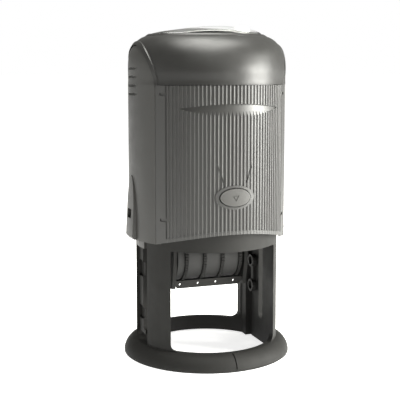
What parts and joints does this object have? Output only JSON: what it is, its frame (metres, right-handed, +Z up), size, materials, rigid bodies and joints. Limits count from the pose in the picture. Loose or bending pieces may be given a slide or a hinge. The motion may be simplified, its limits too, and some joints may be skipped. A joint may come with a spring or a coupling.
{
  "type": "self-inking date stamp",
  "caption": "Round self-inking date stamp: a ribbed sprung cap slides down over an open frame and flips the die block from ink pad to paper.",
  "frame": {"origin": "centre of the base ring's underside, on the paper", "axes": "+Z up along the stroke; -Y is the front with the lock button; +X to the right seen from the front, along the trunnions"},
  "size_m": [0.062, 0.062, 0.1204],
  "materials": {
    "frame_plastic": "fine matte",
    "cap_plastic": "satin",
    "cover_plastic": "satin gloss",
    "button_plastic": "satin",
    "cartridge_plastic": "matte",
    "wheel_plastic": "matte",
    "clear_plastic": "clear gloss",
    "card": "matte card",
    "pad_felt": "inked felt",
    "die_rubber": "smooth rubber",
    "spring_steel": "drawn wire",
    "pin_steel": "ground"
  },
  "bodies": {
    "frame": {"base_frame": "frame_plastic", "ink_cartridge": "cartridge_plastic", "ink_pad": "pad_felt", "return_spring": "spring_steel"},
    "cap": {"side_panel_left": "cap_plastic", "side_panel_right": "cap_plastic", "cap_bridge": "cap_plastic", "front_cover": "cover_plastic", "rear_cover": "cover_plastic", "top_cover": "cover_plastic", "index_card": "card", "button_spring": "spring_steel"},
    "window": {"index_window": "clear_plastic"},
    "button": {"lock_button": "button_plastic"},
    "block": {"block_carrier": "frame_plastic", "die_plate": "frame_plastic", "text_die": "die_rubber", "band_rail": "frame_plastic", "wheel_axle": "pin_steel", "trunnion_left": "pin_steel", "trunnion_right": "pin_steel", "flip_cam_left": "cartridge_plastic", "flip_cam_right": "cartridge_plastic", "band_guard": "frame_plastic", "date_band_1": "die_rubber", "date_band_2": "die_rubber", "date_band_3": "die_rubber", "date_band_4": "die_rubber"},
    "wheel_1": {"date_wheel_1": "wheel_plastic"},
    "wheel_2": {"date_wheel_2": "wheel_plastic"},
    "wheel_3": {"date_wheel_3": "wheel_plastic"},
    "wheel_4": {"date_wheel_4": "wheel_plastic"}
  },
  "joints": [
    {"name": "cap_press", "type": "slide", "parent": "frame", "child": "cap", "axis": [0, 0, -1], "range_m": [0, 0.0315], "stiffness_N_per_m": 300, "springref_m": -0.015, "deforming": ["return_spring", "ink_pad"]},
    {"name": "die_flip", "type": "hinge", "parent": "cap", "child": "block", "pos_m": [0, 0, 0.044], "axis": [1, 0, 0], "range_deg": [0, 180]},
    {"name": "date_wheel_1_turn", "type": "hinge", "parent": "block", "child": "wheel_1", "pos_m": [-0.0125, 0, 0.0365], "axis": [1, 0, 0], "continuous": true},
    {"name": "date_wheel_2_turn", "type": "hinge", "parent": "block", "child": "wheel_2", "pos_m": [-0.007, 0, 0.0365], "axis": [1, 0, 0], "continuous": true},
    {"name": "date_wheel_3_turn", "type": "hinge", "parent": "block", "child": "wheel_3", "pos_m": [0, 0, 0.0365], "axis": [1, 0, 0], "continuous": true},
    {"name": "date_wheel_4_turn", "type": "hinge", "parent": "block", "child": "wheel_4", "pos_m": [0.007, 0, 0.0365], "axis": [1, 0, 0], "continuous": true},
    {"name": "lock_button_push", "type": "slide", "parent": "cap", "child": "button", "axis": [0, 1, 0], "range_m": [0, 0.0012], "stiffness_N_per_m": 400, "springref_m": -0.0005},
    {"name": "window_lift", "type": "slide", "parent": "cap", "child": "window", "axis": [0, 0, 1], "range_m": [0, 0.012]}
  ],
  "couplings": [
    {"joint": "die_flip", "follows": "cap_press", "rad_per_m": 99.733}
  ]
}
